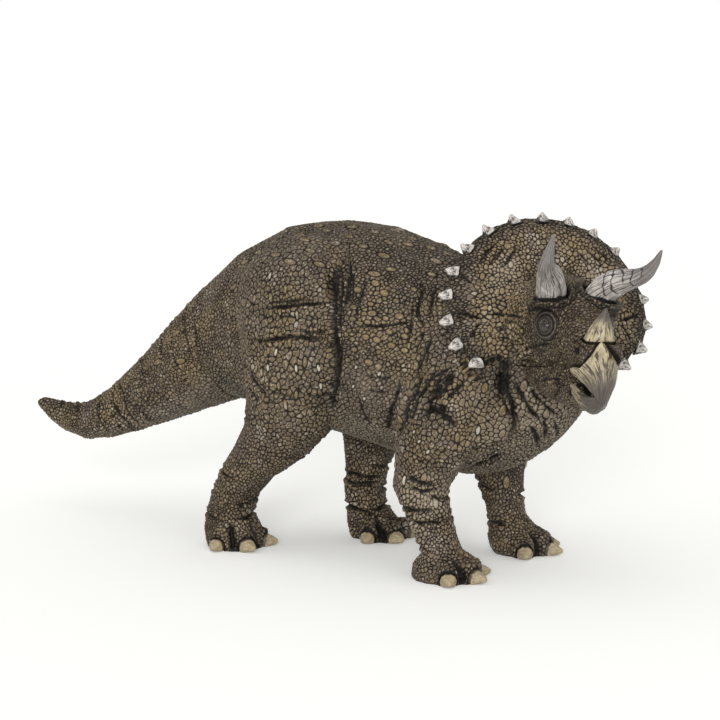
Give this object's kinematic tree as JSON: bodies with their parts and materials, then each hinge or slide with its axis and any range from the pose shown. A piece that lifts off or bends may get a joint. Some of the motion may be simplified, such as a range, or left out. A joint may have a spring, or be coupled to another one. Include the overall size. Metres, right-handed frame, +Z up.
{
  "type": "toy dinosaur figure",
  "caption": "Standing three-horned, frilled toy dinosaur of painted soft plastic with scaly skin, a hooked beak, a drooping tail and its head turned to one side.",
  "frame": {"origin": "on the ground under the middle of the bounding box, where the soles stand", "axes": "+X from the tail to the chest, +Y to the animal's left, +Z up"},
  "size_m": [0.2354, 0.0798, 0.1048],
  "materials": {
    "skin": "olive-brown paint over moulded scales, dark wash in the grooves, satin",
    "horns": "light grey paint with dark lengthwise streaks, satin",
    "knobs": "off-white paint with grey streaks, satin",
    "beak": "yellowish horn paint with dark streaks, satin",
    "nails": "cream paint, satin",
    "eyes": "black gloss"
  },
  "bodies": {
    "root": {"brow_horn_left": "horns", "brow_horn_right": "horns", "eye_left": "eyes", "eye_right": "eyes", "foreleg_left": "skin", "foreleg_right": "skin", "frill_knob_01": "knobs", "frill_knob_02": "knobs", "frill_knob_03": "knobs", "frill_knob_04": "knobs", "frill_knob_05": "knobs", "frill_knob_06": "knobs", "frill_knob_07": "knobs", "frill_knob_08": "knobs", "frill_knob_09": "knobs", "frill_knob_10": "knobs", "frill_knob_11": "knobs", "frill_knob_12": "knobs", "frill_knob_13": "knobs", "frill_knob_14": "knobs", "frill_knob_15": "knobs", "frill_knob_16": "knobs", "frill_knob_17": "knobs", "head": "skin", "hind_leg_left": "skin", "hind_leg_right": "skin", "lower_beak": "beak", "lower_jaw": "skin", "nose_horn": "beak", "tail": "skin", "toenail_fore_left_1": "nails", "toenail_fore_left_2": "nails", "toenail_fore_left_3": "nails", "toenail_fore_right_1": "nails", "toenail_fore_right_2": "nails", "toenail_fore_right_3": "nails", "toenail_hind_left_1": "nails", "toenail_hind_left_2": "nails", "toenail_hind_left_3": "nails", "toenail_hind_left_4": "nails", "toenail_hind_right_1": "nails", "toenail_hind_right_2": "nails", "toenail_hind_right_3": "nails", "toenail_hind_right_4": "nails", "torso_left_shell": "skin", "torso_right_shell": "skin", "upper_beak": "beak"}
  },
  "joints": []
}
